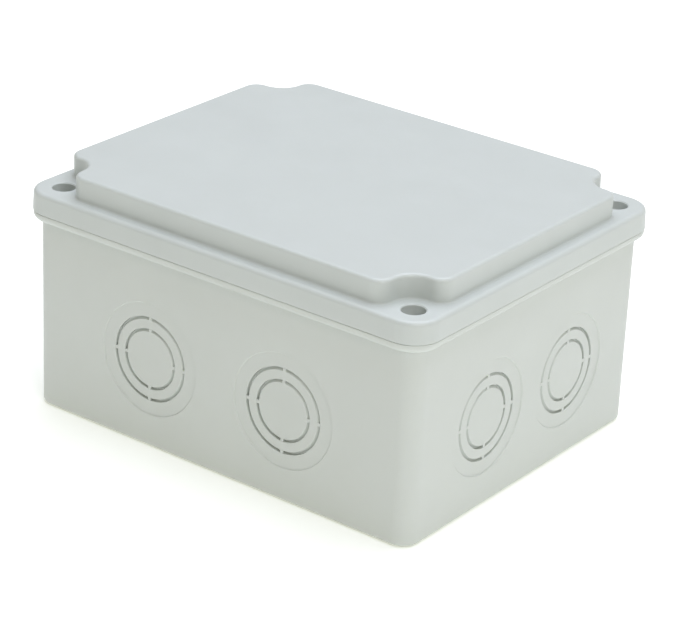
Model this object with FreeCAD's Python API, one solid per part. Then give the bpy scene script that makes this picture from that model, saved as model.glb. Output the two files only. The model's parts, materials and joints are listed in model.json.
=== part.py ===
"""Weatherproof electrical junction box: a moulded base with break-out cable entries, a screwed
lift-off lid with a raised top, its gasket, captive screws, threaded inserts and hole plugs.

Millimetres. +Z is up, +X along the long side, the origin is the middle of the base's underside.
"""
import FreeCAD
import Part
import math
import os

# ---- outside sizes
LID_LENGTH = 156.0
LID_WIDTH = 128.0
HEIGHT = 82.6
RIM_TOP = 74.8           # flat border of the lid that carries the screw holes
SEAM = 67.8              # lower edge of the lid's skirt
SEAM_GAP = 0.15
SEAM_EDGE_R = 0.2
LID_CORNER = 9.6
SKIRT_DRAFT = 0.35       # how much narrower each side of the rim is at its top

# ---- lid
LID_WALL = 2.2
PLATEAU_INSET = 4.35     # raised top, in from the rim's outer edge
PLATEAU_WALL = 2.4
NOTCH_R = 7.4            # concave corner of the raised top, round each screw
SHOULDER_R = 5.0         # convex corners on both sides of each notch
PLATEAU_EDGE_R = 1.2
PLATEAU_FOOT_R = 0.7
RIM_EDGE_R = 1.5

# ---- lid screws, one near each corner
SCREW_INSET = 9.7        # from both outer edges of the lid
LID_BOSS_R = 5.4
LID_BOSS_END = SEAM - 1.9
HEAD_HOLE_R = 3.7
HEAD_HOLE_LIP = 0.35     # chamfer round the mouth of the hole
HEAD_SEAT = SEAM + 0.3
SHANK_HOLE_R = 2.3
HEAD_R = 3.4
HEAD_HEIGHT = 2.6
SHANK_R = 2.0
SCREW_TIP = SEAM - 15.3
HEAD_EDGE_R = 0.5
TIP_CHAMFER = 0.5
DRIVE_WIDTH = 1.0
DRIVE_LENGTH = 4.2
DRIVE_DEPTH = 1.5
RETAINER_R = 2.9
RETAINER_BORE_R = 2.06
RETAINER_BOTTOM = SEAM - 9.1
RETAINER_THICK = 0.9

# ---- base
WALL = 2.4
FLOOR = 2.6
WALL_INSET_X = 3.1       # outer face of the wall, in from the lid's edge
WALL_INSET_Y = 3.5
BODY_CORNER = 5.8
BOTTOM_EDGE_R = 1.5
FLANGE_HEIGHT = 2.9
FLANGE_INSET = 0.2
FLANGE_UNDER_R = 2.2
CAVITY_NOTCH_R = 9.4
CAVITY_SHOULDER_R = 3.0
CAVITY_FLOOR_R = 1.0
TONGUE_THICK = 1.6
TONGUE_TOP = SEAM + 3.2
WELL_R = 7.2             # pocket round each screw post, outside the seal
WELL_FLOOR = 15.0
POST_R = 5.0
POST_TOP = LID_BOSS_END
BOSS_CLEARANCE = 0.4
RETAINER_WELL_R = 3.3
INSERT_TOP = SEAM - 9.5
INSERT_BOTTOM = SEAM - 17.5
INSERT_R = 2.9
INSERT_BORE_R = 2.08
INSERT_WAIST_DEPTH = 0.4
INSERT_WAIST_WIDTH = 1.2
TIP_RELIEF_R = 2.2
TIP_RELIEF_BOTTOM = SEAM - 21.5

# ---- seal
SEAL_GAP = 0.3           # between the tongue and the lid's rib
RIB_THICK = 1.6
RIB_END = SEAM + 0.8
GASKET_OUT = 3.0         # how far the strip reaches outside the cavity's outline

# ---- break-out cable entries, two on each wall
KNOCKOUT_HEIGHT = 30.2
KNOCKOUT_X = 26.6        # on the long walls, from the middle
KNOCKOUT_Y = 21.9        # on the short walls, from the middle
PAD_R = 19.1
PAD_DEPTH = 0.35
PAD_SLOPE = 0.3          # width of the sloped step round the pad
OUTER_HOLE_R = 14.3
INNER_HOLE_R = 10.3
GROOVE = 1.1             # width at its mouth; the blank's side slopes, the hole's is upright
GROOVE_FLOOR = 0.4       # width at its floor
TEAR_GAP = 0.05          # torn edge, all round a blank
SKIN = 1.0               # what is left behind the groove
WEB_WIDTH = 1.0
WEB_END_INSET = 0.03     # a web's flat end stops inside the round edge

# ---- floor
MOUNT_X = 60.0
MOUNT_Y = 36.0
MOUNT_HOLE_R = 2.3
COLLAR_R = 6.6
COLLAR_TOP = 9.0
SCREW_POCKET_R = 5.0
SCREW_POCKET_FLOOR = 4.2
PLUG_STEM_R = 4.85
PLUG_STEM_BOTTOM = 6.4
PLUG_FLANGE_R = 6.3
PLUG_FLANGE_THICK = 1.3
PLUG_EDGE = 0.5
PRY_SLOT = (5.0, 1.0, 0.6)
PLATE_BOSS_X = 45.0
PLATE_BOSS_Y = 25.0
PLATE_BOSS_R = 3.6
PLATE_BOSS_TOP = 8.0
PLATE_HOLE_R = 1.5
PLATE_HOLE_FLOOR = 3.6
RECESS_INSET = 9.0       # shallow hollow in the underside, which leaves a flat border
RECESS_DEPTH = 0.5
RECESS_CORNER = 6.0
FOOT_PAD_R = 9.0         # flat pads round the mounting holes

HALF_X = LID_LENGTH / 2
HALF_Y = LID_WIDTH / 2
SCREW_X = HALF_X - SCREW_INSET
SCREW_Y = HALF_Y - SCREW_INSET
BODY_X = HALF_X - WALL_INSET_X
BODY_Y = HALF_Y - WALL_INSET_Y
CAVITY_X = BODY_X - WALL
CAVITY_Y = BODY_Y - WALL
FLANGE_TOP = SEAM - SEAM_GAP
FLANGE_BOTTOM = FLANGE_TOP - FLANGE_HEIGHT
RIM_UNDER = RIM_TOP - LID_WALL
UP = FreeCAD.Vector(0, 0, 1)
CORNERS = {
    "front_left": (-1, -1),
    "front_right": (1, -1),
    "back_left": (-1, 1),
    "back_right": (1, 1),
}


def vec(x, y, z=0.0):
    return FreeCAD.Vector(x, y, z)


def prism(wire, bottom, top):
    """Solid between two heights over a flat outline drawn at z = 0."""
    face = Part.Face(wire)
    face.translate(vec(0, 0, bottom))
    return face.extrude(vec(0, 0, top - bottom))


def disc(radius, bottom, top, x=0.0, y=0.0):
    return Part.makeCylinder(radius, top - bottom, vec(x, y, bottom), UP)


def arc(centre, radius, start, end):
    """Arc about a centre, from one angle to another in radians."""
    at = [
        vec(centre.x + radius * math.cos(a), centre.y + radius * math.sin(a))
        for a in (start, (start + end) / 2, end)
    ]
    return Part.Arc(*at).toShape()


def loop(pieces):
    """Closed wire through edges given in order, with a straight run between neighbours."""
    edges = []
    for piece, following in zip(pieces, pieces[1:] + pieces[:1]):
        edges.append(piece)
        start = piece.valueAt(piece.LastParameter)
        end = following.valueAt(following.FirstParameter)
        if start.distanceToPoint(end) > 1e-6:
            edges.append(Part.LineSegment(start, end).toShape())
    return Part.Wire(edges)


def rounded_outline(half_x, half_y, radius):
    """Rectangle with round corners, counter-clockwise from the +X +Y corner."""
    arcs = []
    for number, (sx, sy) in enumerate(((1, 1), (-1, 1), (-1, -1), (1, -1))):
        centre = vec(sx * (half_x - radius), sy * (half_y - radius))
        start = number * math.pi / 2
        arcs.append(arc(centre, radius, start, start + math.pi / 2))
    return loop(arcs)


def notched_outline(half_x, half_y, notch_r, shoulder_r):
    """Rectangle whose corners are hollowed round the screws, with a round shoulder each side."""
    reach = notch_r + shoulder_r
    rise_x = half_x - shoulder_r - SCREW_X
    rise_y = half_y - shoulder_r - SCREW_Y
    angle_x = math.asin(rise_x / reach)      # of the shoulder next to the +X side
    angle_y = math.asin(rise_y / reach)      # of the shoulder next to the +Y side
    arcs = []
    for number, (sx, sy) in enumerate(((1, 1), (-1, 1), (-1, -1), (1, -1))):
        screw = vec(sx * SCREW_X, sy * SCREW_Y)
        turn = number * math.pi / 2
        first, last = (angle_x, angle_y) if number % 2 == 0 else (angle_y, angle_x)
        toward_first = turn - math.pi / 2 + first
        toward_last = turn + math.pi - last
        near = screw + vec(math.cos(toward_first), math.sin(toward_first)) * reach
        far = screw + vec(math.cos(toward_last), math.sin(toward_last)) * reach
        arcs.append(arc(near, shoulder_r, turn, toward_first + math.pi))
        arcs.append(arc(screw, notch_r, toward_first, toward_last - 2 * math.pi))
        arcs.append(arc(far, shoulder_r, toward_last - math.pi, turn + math.pi / 2))
    return loop(arcs)


def cavity_outline(outset):
    """Outline of the base's inner face, moved out (or in, if negative) by a distance."""
    return notched_outline(
        CAVITY_X + outset,
        CAVITY_Y + outset,
        CAVITY_NOTCH_R - outset,
        CAVITY_SHOULDER_R + outset,
    )


def edges_at(shape, height, pick=lambda edge: True):
    """Edges that lie wholly at one height and pass a test."""
    return [
        edge
        for edge in shape.Edges
        if abs(edge.BoundBox.ZMin - height) < 1e-4
        and abs(edge.BoundBox.ZMax - height) < 1e-4
        and pick(edge)
    ]


def one_solid(shape):
    solid = shape.removeSplitter()
    assert len(solid.Solids) == 1 and solid.isValid(), "piece isn't one valid solid"
    return solid.Solids[0]


# ---- lid and what travels with it

def make_lid():
    skirt_foot = rounded_outline(HALF_X, HALF_Y, LID_CORNER)
    skirt_foot.translate(vec(0, 0, SEAM))
    rim = rounded_outline(HALF_X - SKIRT_DRAFT, HALF_Y - SKIRT_DRAFT, LID_CORNER - SKIRT_DRAFT)
    rim.translate(vec(0, 0, RIM_TOP))
    block = Part.makeLoft([skirt_foot, rim], True, True)
    block = block.makeFillet(RIM_EDGE_R, edges_at(block, RIM_TOP))
    block = block.makeFillet(SEAM_EDGE_R, edges_at(block, SEAM))

    top_x = HALF_X - PLATEAU_INSET
    top_y = HALF_Y - PLATEAU_INSET
    plateau = prism(notched_outline(top_x, top_y, NOTCH_R, SHOULDER_R), RIM_UNDER, HEIGHT)
    plateau = plateau.makeFillet(PLATEAU_EDGE_R, edges_at(plateau, HEIGHT))
    shell = block.fuse(plateau).removeSplitter()
    foot = edges_at(shell, RIM_TOP, lambda edge: not on_rim_edge(edge))
    shell = shell.makeFillet(PLATEAU_FOOT_R, foot)

    channel = prism(
        rounded_outline(HALF_X - LID_WALL, HALF_Y - LID_WALL, LID_CORNER - LID_WALL),
        SEAM - 1,
        RIM_UNDER,
    )
    hollow = prism(
        notched_outline(
            top_x - PLATEAU_WALL,
            top_y - PLATEAU_WALL,
            NOTCH_R + PLATEAU_WALL,
            SHOULDER_R - PLATEAU_WALL,
        ),
        SEAM - 1,
        HEIGHT - LID_WALL,
    )
    rib = prism(cavity_outline(-SEAL_GAP), RIB_END, RIM_UNDER)
    rib = rib.cut(prism(cavity_outline(-SEAL_GAP - RIB_THICK), RIB_END - 1, RIM_UNDER + 1))
    shell = shell.cut(channel.fuse(hollow).cut(rib))

    for sx, sy in CORNERS.values():
        x = sx * SCREW_X
        y = sy * SCREW_Y
        shell = shell.fuse(disc(LID_BOSS_R, LID_BOSS_END, RIM_UNDER + 0.5, x, y))
    for sx, sy in CORNERS.values():
        x = sx * SCREW_X
        y = sy * SCREW_Y
        shell = shell.cut(disc(HEAD_HOLE_R, HEAD_SEAT, HEIGHT, x, y))
        shell = shell.cut(disc(SHANK_HOLE_R, LID_BOSS_END - 1, HEAD_SEAT + 1, x, y))
        shell = shell.cut(Part.makeCone(
            HEAD_HOLE_R, HEAD_HOLE_R + HEAD_HOLE_LIP, HEAD_HOLE_LIP, vec(x, y, RIM_TOP - HEAD_HOLE_LIP)
        ))
    return one_solid(shell)


def on_rim_edge(edge):
    """Edges at the rim's height that belong to its outer rounding."""
    box = edge.BoundBox
    reach_x = max(abs(box.XMin), abs(box.XMax))
    reach_y = max(abs(box.YMin), abs(box.YMax))
    limit = (SKIRT_DRAFT + RIM_EDGE_R + PLATEAU_INSET) / 2
    return reach_x > HALF_X - limit or reach_y > HALF_Y - limit


def make_gasket():
    strip = prism(cavity_outline(GASKET_OUT), TONGUE_TOP, RIM_UNDER)
    strip = strip.cut(prism(cavity_outline(-SEAL_GAP), TONGUE_TOP - 1, RIM_UNDER + 1))
    return one_solid(strip)


def make_screw(x, y):
    head = disc(HEAD_R, HEAD_SEAT, HEAD_SEAT + HEAD_HEIGHT, x, y)
    head = head.makeFillet(HEAD_EDGE_R, edges_at(head, HEAD_SEAT + HEAD_HEIGHT))
    shank = disc(SHANK_R, SCREW_TIP, HEAD_SEAT, x, y)
    shank = shank.makeChamfer(TIP_CHAMFER, edges_at(shank, SCREW_TIP))
    screw = head.fuse(shank)
    for long_x, long_y in ((DRIVE_LENGTH, DRIVE_WIDTH), (DRIVE_WIDTH, DRIVE_LENGTH)):
        low = vec(x - long_x / 2, y - long_y / 2, HEAD_SEAT + HEAD_HEIGHT - DRIVE_DEPTH)
        screw = screw.cut(Part.makeBox(long_x, long_y, DRIVE_DEPTH + 1, low))
    return one_solid(screw)


def make_retainer(x, y):
    top = RETAINER_BOTTOM + RETAINER_THICK
    ring = disc(RETAINER_R, RETAINER_BOTTOM, top, x, y)
    return one_solid(ring.cut(disc(RETAINER_BORE_R, RETAINER_BOTTOM - 1, top + 1, x, y)))


def make_insert(x, y):
    sleeve = disc(INSERT_R, INSERT_BOTTOM, INSERT_TOP, x, y)
    middle = (INSERT_TOP + INSERT_BOTTOM) / 2
    waist_half = INSERT_WAIST_WIDTH / 2
    waist = disc(INSERT_R + 1, middle - waist_half, middle + waist_half, x, y)
    waist = waist.cut(disc(INSERT_R - INSERT_WAIST_DEPTH, middle - 1, middle + 1, x, y))
    sleeve = sleeve.cut(waist)
    return one_solid(sleeve.cut(disc(INSERT_BORE_R, INSERT_BOTTOM - 1, INSERT_TOP + 1, x, y)))


# ---- base

def make_base():
    body = prism(rounded_outline(BODY_X, BODY_Y, BODY_CORNER), 0, FLANGE_TOP)
    body = body.makeFillet(BOTTOM_EDGE_R, edges_at(body, 0))
    flange_x = HALF_X - FLANGE_INSET
    flange_y = HALF_Y - FLANGE_INSET
    flange_outline = rounded_outline(flange_x, flange_y, LID_CORNER - FLANGE_INSET)
    flange = prism(flange_outline, FLANGE_BOTTOM, FLANGE_TOP)
    flange = flange.makeFillet(FLANGE_UNDER_R, edges_at(flange, FLANGE_BOTTOM))
    flange = flange.makeFillet(SEAM_EDGE_R, edges_at(flange, FLANGE_TOP))
    base = body.fuse(flange)
    base = base.fuse(prism(cavity_outline(TONGUE_THICK), FLANGE_TOP - 1, TONGUE_TOP))

    cavity = prism(cavity_outline(0), FLOOR, TONGUE_TOP + 1)
    cavity = cavity.makeFillet(CAVITY_FLOOR_R, edges_at(cavity, FLOOR))
    base = base.cut(cavity)
    base = base.cut(make_underside_recess())
    for sx, sy in CORNERS.values():
        base = cut_screw_corner(base, sx * SCREW_X, sy * SCREW_Y)
        base = add_mounting_hole(base, sx * MOUNT_X, sy * MOUNT_Y)
        base = add_plate_boss(base, sx * PLATE_BOSS_X, sy * PLATE_BOSS_Y)
    for placement in knockout_places().values():
        pad = Part.makeCone(PAD_R - PAD_SLOPE, PAD_R, PAD_DEPTH, vec(0, 0, -PAD_DEPTH), UP)
        hole = disc(OUTER_HOLE_R, -WALL - 1, 1)
        cutter = pad.fuse(hole)
        cutter.Placement = placement
        base = base.cut(cutter)
    return one_solid(base)


def make_underside_recess():
    outline = rounded_outline(BODY_X - RECESS_INSET, BODY_Y - RECESS_INSET, RECESS_CORNER)
    recess = prism(outline, -1, RECESS_DEPTH)
    for sx, sy in CORNERS.values():
        recess = recess.cut(disc(FOOT_PAD_R, -2, 1, sx * MOUNT_X, sy * MOUNT_Y))
    return recess


def cut_screw_corner(base, x, y):
    """Well round the screw post, the post's stepped bore and the seat for the lid's boss."""
    inside = rounded_outline(CAVITY_X, CAVITY_Y, BODY_CORNER - WALL)
    well = disc(WELL_R, WELL_FLOOR, FLANGE_TOP + 1, x, y)
    well = well.common(prism(inside, WELL_FLOOR, FLANGE_TOP + 1))
    well = well.cut(disc(POST_R, WELL_FLOOR, POST_TOP, x, y))
    seat = disc(LID_BOSS_R + BOSS_CLEARANCE, POST_TOP, FLANGE_TOP + 1, x, y)
    bore = disc(RETAINER_WELL_R, INSERT_TOP, POST_TOP + 1, x, y)
    bore = bore.fuse(disc(INSERT_R, INSERT_BOTTOM, INSERT_TOP, x, y))
    bore = bore.fuse(disc(TIP_RELIEF_R, TIP_RELIEF_BOTTOM, INSERT_BOTTOM, x, y))
    return base.cut(well.fuse(seat)).cut(bore)


def add_mounting_hole(base, x, y):
    base = base.fuse(disc(COLLAR_R, FLOOR / 2, COLLAR_TOP, x, y))
    base = base.cut(disc(SCREW_POCKET_R, SCREW_POCKET_FLOOR, COLLAR_TOP + 1, x, y))
    return base.cut(disc(MOUNT_HOLE_R, -1, COLLAR_TOP, x, y))


def add_plate_boss(base, x, y):
    base = base.fuse(disc(PLATE_BOSS_R, FLOOR / 2, PLATE_BOSS_TOP, x, y))
    return base.cut(disc(PLATE_HOLE_R, PLATE_HOLE_FLOOR, PLATE_BOSS_TOP + 1, x, y))


def make_mounting_plug(x, y):
    stem = disc(PLUG_STEM_R, PLUG_STEM_BOTTOM, COLLAR_TOP, x, y)
    stem = stem.makeChamfer(PLUG_EDGE, edges_at(stem, PLUG_STEM_BOTTOM))
    top = COLLAR_TOP + PLUG_FLANGE_THICK
    flange = disc(PLUG_FLANGE_R, COLLAR_TOP, top, x, y)
    flange = flange.makeFillet(PLUG_EDGE, edges_at(flange, top))
    length, width, depth = PRY_SLOT
    slot = Part.makeBox(length, width, depth, vec(x - length / 2, y - width / 2, top - depth))
    return one_solid(stem.fuse(flange).cut(slot))


# ---- break-out blanks, drawn facing +Z with the wall's outer face at z = 0

def knockout_places():
    """Where each cable entry sits: its local +Z points out of the wall, its local +Y points up."""
    places = {}
    walls = {
        "front": (0, vec(0, -BODY_Y), KNOCKOUT_X),
        "right": (90, vec(BODY_X, 0), KNOCKOUT_Y),
        "back": (180, vec(0, BODY_Y), KNOCKOUT_X),
        "left": (270, vec(-BODY_X, 0), KNOCKOUT_Y),
    }
    for wall, (turn, middle, offset) in walls.items():
        upright = FreeCAD.Rotation(vec(1, 0, 0), 90)
        about = FreeCAD.Rotation(UP, turn)
        along = about.multVec(vec(1, 0, 0))
        for side, sign in (("left", -1), ("right", 1)):
            at = middle + along * (sign * offset) + vec(0, 0, KNOCKOUT_HEIGHT)
            places[f"{wall}_{side}"] = FreeCAD.Placement(at, about.multiply(upright))
    return places


def make_blank(hole_r):
    """Plug of one entry: a slope-sided slab inside the groove, a skin behind it and four webs."""
    skin_r = hole_r - TEAR_GAP
    skin_top = -WALL + SKIN
    web_start = skin_r - GROOVE - 1.0
    slab = WALL - PAD_DEPTH
    blank = disc(skin_r, -WALL, skin_top)
    blank = blank.fuse(Part.makeCone(
        hole_r - GROOVE_FLOOR, hole_r - GROOVE, slab - SKIN, vec(0, 0, skin_top), UP
    ))
    for quarter in range(4):
        low = vec(web_start, -WEB_WIDTH / 2, -WALL)
        web = Part.makeBox(skin_r - WEB_END_INSET - web_start, WEB_WIDTH, slab, low)
        web.rotate(vec(0, 0), UP, quarter * 90)
        blank = blank.fuse(web)
    return blank


def make_knockout_disc(placement):
    blank = one_solid(make_blank(INNER_HOLE_R))
    blank.Placement = placement
    return blank


def make_knockout_ring(placement):
    blank = make_blank(OUTER_HOLE_R).cut(disc(INNER_HOLE_R, -WALL - 1, 1))
    blank = one_solid(blank)
    blank.Placement = placement
    return blank


def make_all():
    parts = {"base": make_base(), "lid": make_lid(), "lid_gasket": make_gasket()}
    for corner, (sx, sy) in CORNERS.items():
        x = sx * SCREW_X
        y = sy * SCREW_Y
        parts[f"lid_screw_{corner}"] = make_screw(x, y)
        parts[f"screw_retainer_{corner}"] = make_retainer(x, y)
        parts[f"thread_insert_{corner}"] = make_insert(x, y)
        parts[f"mounting_plug_{corner}"] = make_mounting_plug(sx * MOUNT_X, sy * MOUNT_Y)
    for name, placement in knockout_places().items():
        parts[f"knockout_ring_{name}"] = make_knockout_ring(placement)
        parts[f"knockout_disc_{name}"] = make_knockout_disc(placement)
    return parts


os.makedirs("parts", exist_ok=True)
for node, shape in make_all().items():
    shape.exportStep(f"parts/{node}.step")
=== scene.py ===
"""Looks of the junction box: materials, the small detailed pieces, floor, lights and camera."""

import json
import math

import bmesh
import bpy
from mathutils import Matrix, Vector


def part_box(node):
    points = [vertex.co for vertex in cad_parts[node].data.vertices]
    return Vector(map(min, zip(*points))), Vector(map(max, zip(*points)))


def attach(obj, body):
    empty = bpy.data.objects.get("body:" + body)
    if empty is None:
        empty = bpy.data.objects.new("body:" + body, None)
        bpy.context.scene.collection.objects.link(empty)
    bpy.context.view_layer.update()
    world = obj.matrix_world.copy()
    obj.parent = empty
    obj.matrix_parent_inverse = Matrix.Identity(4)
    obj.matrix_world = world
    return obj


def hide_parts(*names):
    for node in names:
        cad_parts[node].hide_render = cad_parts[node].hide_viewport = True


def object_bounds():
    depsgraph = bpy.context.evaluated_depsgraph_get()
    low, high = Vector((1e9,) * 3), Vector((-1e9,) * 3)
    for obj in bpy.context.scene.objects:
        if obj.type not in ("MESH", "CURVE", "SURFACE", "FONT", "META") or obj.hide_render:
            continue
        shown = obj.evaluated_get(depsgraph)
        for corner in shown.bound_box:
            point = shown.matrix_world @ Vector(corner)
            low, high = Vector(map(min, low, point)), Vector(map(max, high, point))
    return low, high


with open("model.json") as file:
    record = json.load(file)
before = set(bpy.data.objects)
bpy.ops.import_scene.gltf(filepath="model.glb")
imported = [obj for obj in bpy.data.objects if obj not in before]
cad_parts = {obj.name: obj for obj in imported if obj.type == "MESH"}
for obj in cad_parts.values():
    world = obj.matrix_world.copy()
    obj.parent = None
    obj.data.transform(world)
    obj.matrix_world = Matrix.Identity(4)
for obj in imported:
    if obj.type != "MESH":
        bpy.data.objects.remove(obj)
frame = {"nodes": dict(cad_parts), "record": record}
cad_low, cad_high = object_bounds()
NODES = frame["nodes"]
MM = 0.001

# ---- camera
AIM = Vector((11.35, -12.94, 41.3)) * MM
AZIMUTH = 36.61
ELEVATION = 24.57
ROLL = 2.55
DISTANCE = 849.2 * MM
LENS = 142.7
SENSOR_WIDTH = 36.0


def place_camera():
    azimuth = math.radians(AZIMUTH)
    elevation = math.radians(ELEVATION)
    roll = math.radians(ROLL)
    back = Vector((
        math.sin(azimuth) * math.cos(elevation),
        -math.cos(azimuth) * math.cos(elevation),
        math.sin(elevation),
    ))
    level = Vector((0, 0, 1)).cross(back).normalized()
    upright = back.cross(level)
    right = level * math.cos(roll) + upright * math.sin(roll)
    up = upright * math.cos(roll) - level * math.sin(roll)
    matrix = Matrix((right, up, back)).transposed().to_4x4()
    matrix.translation = AIM + back * DISTANCE
    data = bpy.data.cameras.new("camera")
    data.lens = LENS
    data.sensor_fit = "HORIZONTAL"
    data.sensor_width = SENSOR_WIDTH
    data.clip_start = 0.01
    camera = bpy.data.objects.new("camera", data)
    camera.matrix_world = matrix
    bpy.context.scene.collection.objects.link(camera)
    bpy.context.scene.camera = camera


# ---- materials

class Nodes:
    """Short way to write one material's node tree."""

    def __init__(self, name):
        self.material = bpy.data.materials.new(name)
        self.material.use_nodes = True
        self.tree = self.material.node_tree
        self.shader = self.tree.nodes["Principled BSDF"]
        self.place = self.add("ShaderNodeTexCoord").outputs["Object"]

    def add(self, kind, **settings):
        node = self.tree.nodes.new(kind)
        for key, value in settings.items():
            setattr(node, key, value)
        return node

    def link(self, source, target):
        self.tree.links.new(source, target)

    def noise(self, scale, detail=2.0, roughness=0.5, stretch=None):
        node = self.add("ShaderNodeTexNoise")
        node.inputs["Scale"].default_value = scale
        node.inputs["Detail"].default_value = detail
        node.inputs["Roughness"].default_value = roughness
        source = self.place
        if stretch:
            mapping = self.add("ShaderNodeMapping")
            mapping.inputs["Scale"].default_value = stretch
            self.link(source, mapping.inputs["Vector"])
            source = mapping.outputs["Vector"]
        self.link(source, node.inputs["Vector"])
        return node.outputs["Fac"]

    def ramp(self, source, stops):
        """Colour that runs between two (position, colour) stops."""
        node = self.add("ShaderNodeValToRGB")
        for element, (position, colour) in zip(node.color_ramp.elements, stops):
            element.position = position
            element.color = (*colour, 1.0)
        self.link(source, node.inputs["Fac"])
        return node.outputs["Color"]

    def spread(self, source, low, high):
        node = self.add("ShaderNodeMapRange")
        node.inputs["From Min"].default_value = 0.3
        node.inputs["From Max"].default_value = 0.7
        node.inputs["To Min"].default_value = low
        node.inputs["To Max"].default_value = high
        self.link(source, node.inputs["Value"])
        return node.outputs["Result"]

    def bump(self, source, depth, strength=1.0, under=None):
        node = self.add("ShaderNodeBump")
        node.inputs["Strength"].default_value = strength
        node.inputs["Distance"].default_value = depth
        self.link(source, node.inputs["Height"])
        if under:
            self.link(under, node.inputs["Normal"])
        return node.outputs["Normal"]

    def set(self, **values):
        for key, value in values.items():
            self.shader.inputs[key.replace("_", " ")].default_value = value


def shade(colour, by):
    return tuple(channel * by for channel in colour)


def moulded_plastic(name, colour, roughness, grain_depth):
    """Injection-moulded plastic: faint mottling, a fine spark-eroded grain and soft flow waves."""
    nodes = Nodes(name)
    mottle = nodes.noise(38.0, 4.0, 0.6)
    tone = nodes.ramp(mottle, [(0.3, shade(colour, 0.985)), (0.7, shade(colour, 1.015))])
    nodes.link(tone, nodes.shader.inputs["Base Color"])
    handling = nodes.noise(90.0, 5.0, 0.65)
    nodes.link(
        nodes.spread(handling, roughness - 0.05, roughness + 0.05),
        nodes.shader.inputs["Roughness"],
    )
    flow = nodes.bump(nodes.noise(16.0, 1.0, 0.4), 0.00012, 0.5)
    grain = nodes.bump(nodes.noise(5200.0, 3.0, 0.6), grain_depth, 0.7, flow)
    nodes.link(grain, nodes.shader.inputs["Normal"])
    nodes.set(
        IOR=1.5,
        Subsurface_Weight=0.3,
        Subsurface_Radius=(1.0, 1.0, 0.9),
        Subsurface_Scale=0.0007,
    )
    return nodes.material


def foam_rubber(name):
    nodes = Nodes(name)
    cells = nodes.noise(2600.0, 4.0, 0.7)
    tone = nodes.ramp(cells, [(0.35, (0.018, 0.018, 0.019)), (0.7, (0.05, 0.05, 0.052))])
    nodes.link(tone, nodes.shader.inputs["Base Color"])
    nodes.link(nodes.spread(cells, 0.7, 0.9), nodes.shader.inputs["Roughness"])
    nodes.link(nodes.bump(cells, 0.00008), nodes.shader.inputs["Normal"])
    return nodes.material


def metal(name, colour, roughness, scale, stretch=None):
    nodes = Nodes(name)
    marks = nodes.noise(scale, 4.0, 0.65, stretch)
    tone = nodes.ramp(marks, [(0.3, shade(colour, 0.86)), (0.7, colour)])
    nodes.link(tone, nodes.shader.inputs["Base Color"])
    nodes.link(
        nodes.spread(marks, roughness - 0.08, roughness + 0.1),
        nodes.shader.inputs["Roughness"],
    )
    nodes.link(nodes.bump(marks, 0.00001), nodes.shader.inputs["Normal"])
    nodes.set(Metallic=1.0)
    return nodes.material


LID_GREY = (0.60, 0.635, 0.615)
BASE_GREY = (0.623, 0.653, 0.622)
RETAINER_BLACK = (0.02, 0.02, 0.021)
STEEL = (0.62, 0.61, 0.58)
BRASS = (0.80, 0.58, 0.25)
MATERIALS = {
    "base_plastic": moulded_plastic("base_plastic_look", BASE_GREY, 0.42, 0.000012),
    "lid_plastic": moulded_plastic("lid_plastic_look", LID_GREY, 0.36, 0.000008),
    "plug_plastic": moulded_plastic("plug_plastic_look", shade(BASE_GREY, 0.94), 0.5, 0.000012),
    "retainer_plastic": moulded_plastic("retainer_plastic_look", RETAINER_BLACK, 0.5, 0.00001),
    "gasket_rubber": foam_rubber("gasket_rubber_look"),
    "screw_steel": metal("screw_steel_look", STEEL, 0.3, 900.0, (1, 1, 0.1)),
    "insert_brass": metal("insert_brass_look", BRASS, 0.32, 1200.0),
}


def dress_cad_nodes():
    for part in frame["record"]["subparts"]:
        mesh = NODES[part["node"]].data
        mesh.materials.clear()
        mesh.materials.append(MATERIALS[part["material_slot"]])


# ---- small turned pieces, each drawn about its own axis with its lowest point at z = 0

CORNERS = ("front_left", "front_right", "back_left", "back_right")
TURN = 2 * math.pi
THREAD_PITCH = 0.7 * MM
THREAD_DEPTH = 0.38 * MM
INNER_THREAD_DEPTH = 0.2 * MM
THREAD_ROWS_PER_TURN = 7
SHANK_R = 2.0 * MM
HEAD_HEIGHT = 2.6 * MM
HEAD_DOME = 0.8 * MM
NECK_LENGTH = 1.6 * MM       # plain and thinner, so that the retainer can sit on it
NECK_R = 1.7 * MM
RECESS_LONG = 4.2 * MM
RECESS_WIDE = 1.0 * MM
RECESS_DEPTH = 1.2 * MM
INSERT_BORE_R = 2.08 * MM
INSERT_WAIST = 1.2 * MM      # its height
INSERT_WAIST_DEPTH = 0.4 * MM
KNURL_DEPTH = 0.16 * MM
KNURL_RIDGES = 18
RETAINER_BORE_R = 2.06 * MM
RETAINER_EDGE = 0.2 * MM
RETAINER_NOTCHES = 6
RETAINER_NOTCH_DEPTH = 0.18 * MM


def lathe(name, profile, steps, closed, radius_at):
    """Surface of revolution of (radius, height) points, whose radius varies with the angle."""
    mesh = bmesh.new()
    rings = []
    for radius, height in profile:
        if radius == 0:
            rings.append([mesh.verts.new((0, 0, height))] * steps)
            continue
        ring = []
        for step in range(steps):
            angle = TURN * step / steps
            reach = radius_at(radius, height, angle)
            ring.append(mesh.verts.new((reach * math.cos(angle), reach * math.sin(angle), height)))
        rings.append(ring)
    pairs = list(zip(rings, rings[1:]))
    if closed:
        pairs.append((rings[-1], rings[0]))
    for lower, upper in pairs:
        for step in range(steps):
            following = (step + 1) % steps
            corners = [lower[step], lower[following], upper[following], upper[step]]
            mesh.faces.new(list(dict.fromkeys(corners)))
    bmesh.ops.recalc_face_normals(mesh, faces=mesh.faces)
    data = bpy.data.meshes.new(name)
    mesh.to_mesh(data)
    mesh.free()
    return finish_mesh(data)


def finish_mesh(data):
    data.polygons.foreach_set("use_smooth", [True] * len(data.polygons))
    data.set_sharp_from_angle(angle=math.radians(35))
    return data


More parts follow.
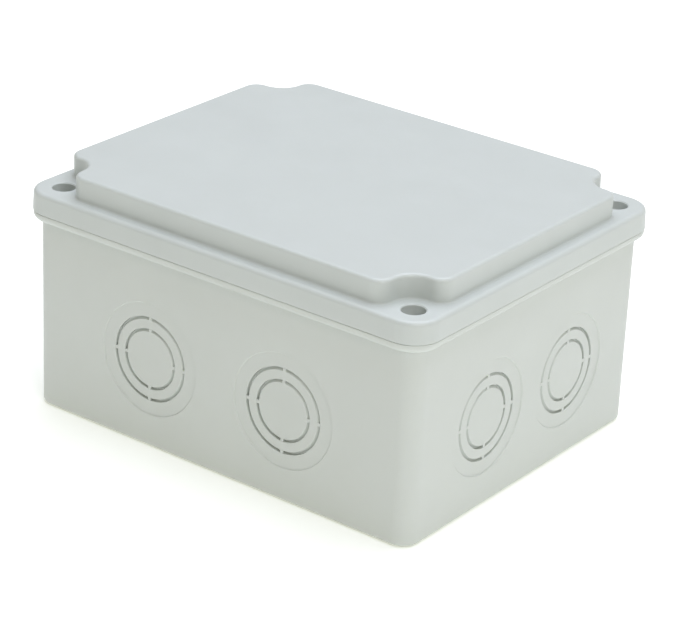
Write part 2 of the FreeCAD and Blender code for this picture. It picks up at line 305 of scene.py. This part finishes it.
def ridge(height, angle):
    """Height of a thread's ridge, 0 at its root to 1 at its flat crest."""
    phase = (height / THREAD_PITCH - angle / TURN) % 1
    return min(1.0, max(0.0, 1.3 * abs(2 * phase - 1) - 0.15))


def cross_cutter(long, wide, depth, top):
    """Tapered cross with a pointed end, which sinks a driver recess."""
    mesh = bmesh.new()
    rings = []
    for share, height in ((1.04, top + 0.1 * MM), (0.62, top - depth)):
        half = long / 2 * share
        arm = wide / 2 * (0.4 + 0.6 * share)
        quarter = [(half, -arm), (half, arm), (arm, arm)]
        ring = []
        for number in range(4):
            turn = Matrix.Rotation(number * TURN / 4, 3, "Z")
            ring += [mesh.verts.new(turn @ Vector((x, y, height))) for x, y in quarter]
        rings.append(ring)
    mesh.faces.new(rings[0])
    tip = mesh.verts.new((0, 0, top - depth * 1.35))
    count = len(rings[0])
    for step in range(count):
        following = (step + 1) % count
        mesh.faces.new((rings[0][step], rings[1][step], rings[1][following], rings[0][following]))
        mesh.faces.new((rings[1][step], tip, rings[1][following]))
    bmesh.ops.recalc_face_normals(mesh, faces=mesh.faces)
    data = bpy.data.meshes.new("cutter")
    mesh.to_mesh(data)
    mesh.free()
    return data


def carve(data, cutter_data):
    """The mesh with another one cut out of it."""
    body = bpy.data.objects.new("body", data)
    cutter = bpy.data.objects.new("cutter", cutter_data)
    for item in (body, cutter):
        bpy.context.scene.collection.objects.link(item)
    cut = body.modifiers.new("cut", "BOOLEAN")
    cut.object = cutter
    cut.solver = "EXACT"
    result = bpy.data.meshes.new_from_object(
        body.evaluated_get(bpy.context.evaluated_depsgraph_get())
    )
    for item in (body, cutter):
        bpy.data.objects.remove(item)
    return finish_mesh(result)


def screw_mesh(size):
    """Pan-head machine screw: domed head with a cross recess, a plain neck and a rolled thread."""
    head_r = size.x / 2
    top = size.z
    seat = top - HEAD_HEIGHT
    neck = seat - NECK_LENGTH
    rows = int(neck / THREAD_PITCH * THREAD_ROWS_PER_TURN)
    profile = [(0, 0), (0.9 * MM, 0)]
    profile += [(SHANK_R, 0.5 * MM + (neck - 0.5 * MM) * row / rows) for row in range(rows + 1)]
    profile += [(NECK_R, neck + 0.2 * MM), (NECK_R, seat - 0.2 * MM), (1.9 * MM, seat)]
    profile += [(head_r - 0.15 * MM, seat), (head_r, seat + 0.15 * MM)]
    for step in range(9):
        angle = math.pi / 2 * step / 8
        profile.append((
            head_r - HEAD_DOME * (1 - math.cos(angle)),
            top - 0.25 * MM - HEAD_DOME * (1 - math.sin(angle)),
        ))
    profile += [(1.6 * MM, top - 0.07 * MM), (0.8 * MM, top - 0.02 * MM), (0, top)]

    def threaded(radius, height, angle):
        if radius != SHANK_R or height > neck:
            return radius
        fade = min(1.0, height / (1.5 * MM), (neck - height) / (0.7 * MM) + 0.3)
        return radius - THREAD_DEPTH * (1 - fade * ridge(height, angle))

    blank = lathe("screw", profile, 40, False, threaded)
    return carve(blank, cross_cutter(RECESS_LONG, RECESS_WIDE, RECESS_DEPTH, top))


def insert_mesh(size):
    """Brass insert: two knurled bands with a waist between, a chamfered and threaded bore."""
    outer = size.x / 2
    bore = INSERT_BORE_R
    top = size.z
    waist_low = top / 2 - INSERT_WAIST / 2
    waist_high = top / 2 + INSERT_WAIST / 2
    waist_r = outer - INSERT_WAIST_DEPTH
    rows = 60
    profile = [(bore + 0.3 * MM, 0), (outer - 0.25 * MM, 0), (outer, 0.3 * MM)]
    for step in range(1, 8):
        profile.append((outer, 0.3 * MM + (waist_low - 0.3 * MM) * step / 8))
    profile += [(outer, waist_low), (waist_r, waist_low + 0.1 * MM)]
    profile += [(waist_r, waist_high - 0.1 * MM), (outer, waist_high)]
    for step in range(1, 8):
        profile.append((outer, waist_high + (top - 0.3 * MM - waist_high) * step / 8))
    profile += [(outer, top - 0.3 * MM), (outer - 0.25 * MM, top), (bore + 0.3 * MM, top)]
    profile += [
        (bore, top - 0.3 * MM - (top - 0.6 * MM) * row / rows) for row in range(rows + 1)
    ]

    def cut(radius, height, angle):
        if radius == outer:
            slant = 1 if height > top / 2 else -1
            wave = math.cos(KNURL_RIDGES * angle + slant * height / MM)
            return radius - KNURL_DEPTH * (0.5 + 0.5 * wave)
        if radius == bore:
            return radius + INNER_THREAD_DEPTH * (1 - ridge(height, angle))
        return radius

    return lathe("insert", profile, 108, True, cut)


def retainer_mesh(size):
    """Push-on ring with rounded edges and six shallow grip notches."""
    outer = size.x / 2
    bore = RETAINER_BORE_R
    top = size.z
    edge = RETAINER_EDGE
    profile = [(bore + edge, 0), (outer - edge, 0), (outer - edge * 0.3, edge * 0.3), (outer, edge)]
    profile += [(outer, top - edge), (outer - edge * 0.3, top - edge * 0.3), (outer - edge, top)]
    profile += [(bore + edge, top), (bore, top - edge), (bore, edge)]

    def notched(radius, height, angle):
        if radius < outer - edge:
            return radius
        return radius - RETAINER_NOTCH_DEPTH * max(0.0, math.cos(RETAINER_NOTCHES * angle)) ** 8

    return lathe("retainer", profile, 96, True, notched)


# ---- gasket: a foamed bead that follows the base's notched outline

ARC_STEPS = 12
NOTCH_R = 9.4 * MM           # of the cavity's outline round each screw
SHOULDER_R = 3.0 * MM
BEAD_INNER = -0.3 * MM       # edges of the bead, out from the cavity's outline
BEAD_OUTER = 3.0 * MM


def arc_points(centre, radius, start, end):
    return [
        (
            centre[0] + radius * math.cos(start + (end - start) * step / ARC_STEPS),
            centre[1] + radius * math.sin(start + (end - start) * step / ARC_STEPS),
        )
        for step in range(ARC_STEPS + 1)
    ]


def bead_outline(half_x, half_y, screw_x, screw_y, outset):
    """Points round the notched outline, the same number at every outset."""
    reach = NOTCH_R + SHOULDER_R
    angle_x = math.asin((half_x - SHOULDER_R - screw_x) / reach)
    angle_y = math.asin((half_y - SHOULDER_R - screw_y) / reach)
    points = []
    for number, (sx, sy) in enumerate(((1, 1), (-1, 1), (-1, -1), (1, -1))):
        screw = (sx * screw_x, sy * screw_y)
        turn = number * math.pi / 2
        first, last = (angle_x, angle_y) if number % 2 == 0 else (angle_y, angle_x)
        near_way = turn - math.pi / 2 + first
        far_way = turn + math.pi - last
        near = (screw[0] + reach * math.cos(near_way), screw[1] + reach * math.sin(near_way))
        far = (screw[0] + reach * math.cos(far_way), screw[1] + reach * math.sin(far_way))
        points += arc_points(near, SHOULDER_R + outset, turn, near_way + math.pi)
        points += arc_points(screw, NOTCH_R - outset, near_way, far_way - TURN)
        points += arc_points(far, SHOULDER_R + outset, far_way - math.pi, turn + math.pi / 2)
    return points


def place_gasket():
    low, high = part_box("lid_gasket")
    screw_low, screw_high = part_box("lid_screw_back_right")
    screw_x = (screw_low[0] + screw_high[0]) / 2
    screw_y = (screw_low[1] + screw_high[1]) / 2
    half_x = high[0] - BEAD_OUTER
    half_y = high[1] - BEAD_OUTER
    middle = (BEAD_OUTER + BEAD_INNER) / 2
    half_width = (BEAD_OUTER - BEAD_INNER) / 2
    shoulder = low[2] + 0.8 * MM
    profile = [(BEAD_INNER, high[2]), (BEAD_OUTER, high[2])]
    for step in range(13):
        angle = math.pi * step / 12
        profile.append((
            middle + half_width * math.cos(angle),
            shoulder - (shoulder - low[2]) * math.sin(angle) ** 0.7,
        ))
    mesh = bmesh.new()
    rings = []
    for outset, height in profile:
        outline = bead_outline(half_x, half_y, screw_x, screw_y, outset)
        rings.append([mesh.verts.new((x, y, height)) for x, y in outline])
    for ring, following in zip(rings, rings[1:] + rings[:1]):
        for step in range(len(ring)):
            after = (step + 1) % len(ring)
            mesh.faces.new((ring[step], ring[after], following[after], following[step]))
    bmesh.ops.remove_doubles(mesh, verts=mesh.verts, dist=1e-7)
    bmesh.ops.recalc_face_normals(mesh, faces=mesh.faces)
    data = bpy.data.meshes.new("gasket")
    mesh.to_mesh(data)
    mesh.free()
    finish_mesh(data).materials.append(MATERIALS["gasket_rubber"])
    piece = bpy.data.objects.new("lid_gasket_bead", data)
    bpy.context.scene.collection.objects.link(piece)
    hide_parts("lid_gasket")
    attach(piece, "lid")


def place_turned_pieces():
    kinds = (
        ("lid_screw", screw_mesh, "screw_steel", "lid_screw"),
        ("screw_retainer", retainer_mesh, "retainer_plastic", "screw_retainer"),
        ("thread_insert", insert_mesh, "insert_brass", None),
    )
    for kind, make, slot, own_body in kinds:
        low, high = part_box(f"{kind}_{CORNERS[0]}")
        data = make(Vector(high) - Vector(low))
        data.materials.append(MATERIALS[slot])
        for corner in CORNERS:
            low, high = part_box(f"{kind}_{corner}")
            piece = bpy.data.objects.new(f"{kind}_{corner}_detail", data)
            piece.location = ((low[0] + high[0]) / 2, (low[1] + high[1]) / 2, low[2])
            bpy.context.scene.collection.objects.link(piece)
            bpy.context.view_layer.update()
            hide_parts(f"{kind}_{corner}")
            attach(piece, f"{own_body}_{corner}" if own_body else "base")


# ---- surroundings

def make_floor():
    bpy.ops.mesh.primitive_plane_add(size=8.0, location=(0, 0, cad_low.z - 0.0002))
    floor = bpy.context.object
    floor.name = "floor"
    nodes = Nodes("floor_look")
    tone = nodes.ramp(nodes.noise(1.5), [(0.3, (0.93, 0.93, 0.93)), (0.7, (0.95, 0.95, 0.95))])
    nodes.link(tone, nodes.shader.inputs["Base Color"])
    nodes.set(Roughness=0.9, Emission_Color=(0.96, 1.0, 0.84, 1.0), Emission_Strength=0.26)
    floor.data.materials.append(nodes.material)


def area_light(name, at, towards, size, power, colour):
    data = bpy.data.lights.new(name, "AREA")
    data.shape = "RECTANGLE"
    data.size, data.size_y = size
    data.energy = power
    data.color = colour
    light = bpy.data.objects.new(name, data)
    light.location = at
    light.rotation_euler = (Vector(towards) - Vector(at)).to_track_quat("-Z", "Y").to_euler()
    bpy.context.scene.collection.objects.link(light)


def light_studio():
    world = bpy.data.worlds.new("studio")
    bpy.context.scene.world = world
    world.use_nodes = True
    background = world.node_tree.nodes["Background"]
    background.inputs["Color"].default_value = (1.0, 0.945, 0.79, 1.0)
    background.inputs["Strength"].default_value = 0.313
    area_light("overhead", (0.0, 0.2, 1.3), (0, 0, 0.04), (1.4, 1.4), 18.9, (0.825, 0.87, 1.0))
    area_light("key", (1.1, -0.7, 0.9), (0, 0, 0.05), (0.5, 0.5), 5.0, (0.98, 0.98, 0.97))
    bpy.context.scene.view_settings.view_transform = "Standard"


place_camera()
dress_cad_nodes()
place_turned_pieces()
place_gasket()
make_floor()
light_studio()
